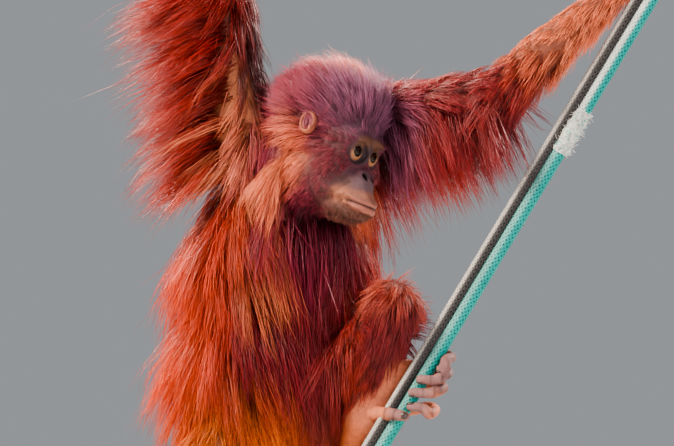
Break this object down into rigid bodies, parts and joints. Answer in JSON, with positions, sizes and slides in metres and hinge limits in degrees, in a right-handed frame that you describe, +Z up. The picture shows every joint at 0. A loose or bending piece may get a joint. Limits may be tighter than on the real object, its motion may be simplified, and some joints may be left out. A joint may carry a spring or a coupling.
{
  "type": "orangutan figure on a display stand",
  "caption": "Life-size still model of a young, long-haired orangutan climbing a slanting rope with both arms raised, held on a flat display stand.",
  "frame": {"origin": "centre of the stand base's underside, on the floor", "axes": "+Z up, +X to the animal's left, -Y out of its chest"},
  "size_m": [0.8047, 0.4, 1.2342],
  "materials": {
    "fur": "long, shaggy red-orange hair over dark skin",
    "skin": "bare, finely wrinkled grey-brown skin",
    "eye": "wet and glossy, dark brown",
    "rope_teal": "braided cord, worn pale along one side",
    "rope_dark": "braided charcoal cord with a pale edge",
    "tape": "worn pale wrap",
    "stand_base": "satin black paint",
    "stand_metal": "brushed rods"
  },
  "bodies": {
    "root": {"head": "skin", "ear_right": "skin", "ear_left": "skin", "eye_right": "eye", "eye_left": "eye", "neck": "fur", "torso": "fur", "upper_arm_right": "fur", "upper_arm_left": "fur", "forearm_right": "fur", "forearm_left": "fur", "hand_right": "skin", "hand_left": "skin", "thigh_right": "fur", "thigh_left": "fur", "shin_right": "fur", "shin_left": "fur", "foot_right": "skin", "foot_left": "skin", "perch_rope_teal": "rope_teal", "perch_rope_dark": "rope_dark", "perch_rope_top": "rope_teal", "perch_tape": "tape", "stand_base": "stand_base", "stand_socket": "stand_metal", "stand_rod_ropes": "stand_metal", "stand_rod_body": "stand_metal"}
  },
  "joints": []
}
